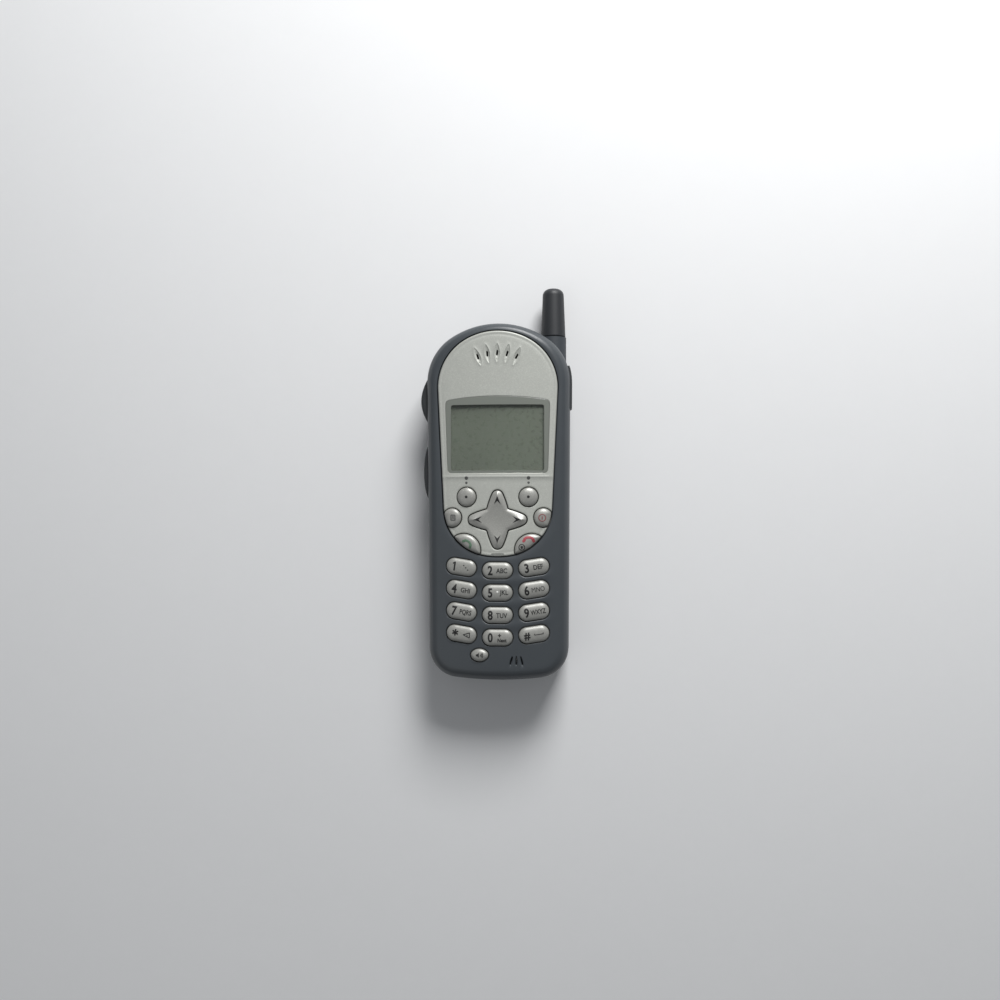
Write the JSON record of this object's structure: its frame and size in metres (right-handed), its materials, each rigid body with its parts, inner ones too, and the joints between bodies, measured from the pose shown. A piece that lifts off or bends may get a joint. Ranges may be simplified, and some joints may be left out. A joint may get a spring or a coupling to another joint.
{
  "type": "push-to-talk mobile phone",
  "caption": "Bar-shaped mobile phone with an oval face plate, display, four-way key, number keys, side keys and a pull-out antenna; loose pieces on real joints",
  "frame": {"origin": "on the flat back, under the middle of the case's length and width", "axes": "+Z out of the face, +Y towards the earpiece, +X to the right of somebody reading the display"},
  "size_m": [0.056, 0.146, 0.0265],
  "materials": {
    "silver_face": "satin silver paint with a fine sparkle on moulded plastic",
    "clear_lens": "clear hard-coated acrylic with a grey printed border",
    "case_front": "blue-grey soft-touch lacquer on moulded plastic",
    "case_rear": "dark blue-grey finely grained moulded plastic",
    "silver_key": "satin silver paint with printed legends",
    "circuit_board": "green solder mask",
    "clear_film": "polyester film over snap domes",
    "grey_silicone": "translucent grey silicone",
    "display_glass": "grey-green reflective liquid crystal glass",
    "white_moulding": "white moulded light guide and frame",
    "black_foam": "closed-cell foam",
    "black_felt": "thin acoustic felt",
    "plated_steel": "tin-plated sheet and turned steel",
    "black_rubber": "matt soft moulded rubber",
    "black_moulding": "black glass-filled moulding",
    "antenna_metal": "bright nickel-plated rod",
    "antenna_black": "black moulded cap, lightly grained",
    "bushing_brass": "turned brass",
    "battery_wrap": "plain black wrap over a welded can",
    "white_card": "white card body"
  },
  "bodies": {
    "phone_body": {"face_plate": "silver_face", "display_lens": "clear_lens", "front_housing": "case_front", "rear_housing": "case_rear", "main_board": "circuit_board", "dome_sheet": "clear_film", "keypad_mat": "grey_silicone", "lcd_panel": "display_glass", "lcd_holder": "white_moulding", "display_gasket": "black_foam", "earpiece_mesh": "black_felt", "earpiece_speaker": "plated_steel", "microphone": "plated_steel", "shield_can_upper": "plated_steel", "shield_can_lower": "plated_steel", "backup_cell": "plated_steel", "housing_screws": "plated_steel", "vibration_motor": "plated_steel", "loudspeaker": "plated_steel", "mic_boot": "black_rubber", "side_switches": "black_moulding", "headset_jack": "black_moulding", "accessory_connector": "black_moulding", "battery_contacts": "black_moulding", "sim_holder": "black_moulding", "antenna_bushing": "bushing_brass", "battery_pack": "battery_wrap", "sim_card": "white_card"},
    "nav_tilt": {"nav_pivot": "black_moulding"},
    "nav_key": {"nav_key": "silver_key"},
    "volume_rocker": {"volume_rocker": "black_rubber"},
    "talk_button": {"talk_button": "black_rubber"},
    "antenna": {"antenna_whip": "antenna_metal", "antenna_cap": "antenna_black"},
    "battery_cover": {"battery_cover": "case_rear"},
    "battery_latch": {"battery_latch": "black_moulding"},
    "jack_cover": {"jack_cover": "black_rubber"},
    "motor_weight": {"motor_weight": "plated_steel"},
    "key_0": {"key_0": "silver_key"},
    "key_1": {"key_1": "silver_key"},
    "key_2": {"key_2": "silver_key"},
    "key_3": {"key_3": "silver_key"},
    "key_4": {"key_4": "silver_key"},
    "key_5": {"key_5": "silver_key"},
    "key_6": {"key_6": "silver_key"},
    "key_7": {"key_7": "silver_key"},
    "key_8": {"key_8": "silver_key"},
    "key_9": {"key_9": "silver_key"},
    "key_star": {"key_star": "silver_key"},
    "key_hash": {"key_hash": "silver_key"},
    "speaker_key": {"speaker_key": "silver_key"},
    "soft_key_left": {"soft_key_left": "silver_key"},
    "soft_key_right": {"soft_key_right": "silver_key"},
    "menu_key": {"menu_key": "silver_key"},
    "power_key": {"power_key": "silver_key"},
    "send_key": {"send_key": "silver_key"},
    "end_key": {"end_key": "silver_key"}
  },
  "joints": [
    {"name": "key_0_press", "type": "slide", "parent": "phone_body", "child": "key_0", "axis": [0, 0, -1], "range_m": [0, 0.0005], "stiffness_N_per_m": 700},
    {"name": "key_1_press", "type": "slide", "parent": "phone_body", "child": "key_1", "axis": [0, 0, -1], "range_m": [0, 0.0005], "stiffness_N_per_m": 700},
    {"name": "key_2_press", "type": "slide", "parent": "phone_body", "child": "key_2", "axis": [0, 0, -1], "range_m": [0, 0.0005], "stiffness_N_per_m": 700},
    {"name": "key_3_press", "type": "slide", "parent": "phone_body", "child": "key_3", "axis": [0, 0, -1], "range_m": [0, 0.0005], "stiffness_N_per_m": 700},
    {"name": "key_4_press", "type": "slide", "parent": "phone_body", "child": "key_4", "axis": [0, 0, -1], "range_m": [0, 0.0005], "stiffness_N_per_m": 700},
    {"name": "key_5_press", "type": "slide", "parent": "phone_body", "child": "key_5", "axis": [0, 0, -1], "range_m": [0, 0.0005], "stiffness_N_per_m": 700},
    {"name": "key_6_press", "type": "slide", "parent": "phone_body", "child": "key_6", "axis": [0, 0, -1], "range_m": [0, 0.0005], "stiffness_N_per_m": 700},
    {"name": "key_7_press", "type": "slide", "parent": "phone_body", "child": "key_7", "axis": [0, 0, -1], "range_m": [0, 0.0005], "stiffness_N_per_m": 700},
    {"name": "key_8_press", "type": "slide", "parent": "phone_body", "child": "key_8", "axis": [0, 0, -1], "range_m": [0, 0.0005], "stiffness_N_per_m": 700},
    {"name": "key_9_press", "type": "slide", "parent": "phone_body", "child": "key_9", "axis": [0, 0, -1], "range_m": [0, 0.0005], "stiffness_N_per_m": 700},
    {"name": "key_star_press", "type": "slide", "parent": "phone_body", "child": "key_star", "axis": [0, 0, -1], "range_m": [0, 0.0005], "stiffness_N_per_m": 700},
    {"name": "key_hash_press", "type": "slide", "parent": "phone_body", "child": "key_hash", "axis": [0, 0, -1], "range_m": [0, 0.0005], "stiffness_N_per_m": 700},
    {"name": "speaker_key_press", "type": "slide", "parent": "phone_body", "child": "speaker_key", "axis": [0, 0, -1], "range_m": [0, 0.0005], "stiffness_N_per_m": 700},
    {"name": "soft_key_left_press", "type": "slide", "parent": "phone_body", "child": "soft_key_left", "axis": [0, 0, -1], "range_m": [0, 0.0005], "stiffness_N_per_m": 700},
    {"name": "soft_key_right_press", "type": "slide", "parent": "phone_body", "child": "soft_key_right", "axis": [0, 0, -1], "range_m": [0, 0.0005], "stiffness_N_per_m": 700},
    {"name": "menu_key_press", "type": "slide", "parent": "phone_body", "child": "menu_key", "axis": [0, 0, -1], "range_m": [0, 0.0005], "stiffness_N_per_m": 700},
    {"name": "power_key_press", "type": "slide", "parent": "phone_body", "child": "power_key", "axis": [0, 0, -1], "range_m": [0, 0.0005], "stiffness_N_per_m": 700},
    {"name": "send_key_press", "type": "slide", "parent": "phone_body", "child": "send_key", "axis": [0, 0, -1], "range_m": [0, 0.0005], "stiffness_N_per_m": 700},
    {"name": "end_key_press", "type": "slide", "parent": "phone_body", "child": "end_key", "axis": [0, 0, -1], "range_m": [0, 0.0005], "stiffness_N_per_m": 700},
    {"name": "nav_tilt_up_down", "type": "hinge", "parent": "phone_body", "child": "nav_tilt", "pos_m": [0, -0.00675, 0.0205], "axis": [1, 0, 0], "range_deg": [-2, 2], "stiffness_Nm_per_rad": 0.2},
    {"name": "nav_tilt_left_right", "type": "hinge", "parent": "nav_tilt", "child": "nav_key", "pos_m": [0, -0.00675, 0.0205], "axis": [0, 1, 0], "range_deg": [-2, 2], "stiffness_Nm_per_rad": 0.2},
    {"name": "volume_rocker_hinge", "type": "hinge", "parent": "phone_body", "child": "volume_rocker", "pos_m": [-0.0254, 0.0376, 0.0157], "axis": [0, 0, 1], "range_deg": [-2, 2], "stiffness_Nm_per_rad": 0.15},
    {"name": "talk_button_press", "type": "slide", "parent": "phone_body", "child": "talk_button", "axis": [1, 0, 0], "range_m": [0, 0.0007], "stiffness_N_per_m": 700},
    {"name": "antenna_slide", "type": "slide", "parent": "phone_body", "child": "antenna", "axis": [0, 1, 0], "range_m": [0, 0.06]},
    {"name": "battery_cover_slide", "type": "slide", "parent": "phone_body", "child": "battery_cover", "axis": [0, -1, 0], "range_m": [0, 0.012]},
    {"name": "battery_latch_slide", "type": "slide", "parent": "phone_body", "child": "battery_latch", "axis": [0, 1, 0], "range_m": [0, 0.0015], "stiffness_N_per_m": 400},
    {"name": "jack_cover_hinge", "type": "hinge", "parent": "phone_body", "child": "jack_cover", "pos_m": [0.02633, 0.03475, 0.0163], "axis": [0, 0, -1], "range_deg": [0, 100], "stiffness_Nm_per_rad": 0.0005},
    {"name": "motor_weight_spin", "type": "hinge", "parent": "phone_body", "child": "motor_weight", "pos_m": [0.0148, 0.0385, 0.006], "axis": [1, 0, 0], "continuous": true}
  ]
}
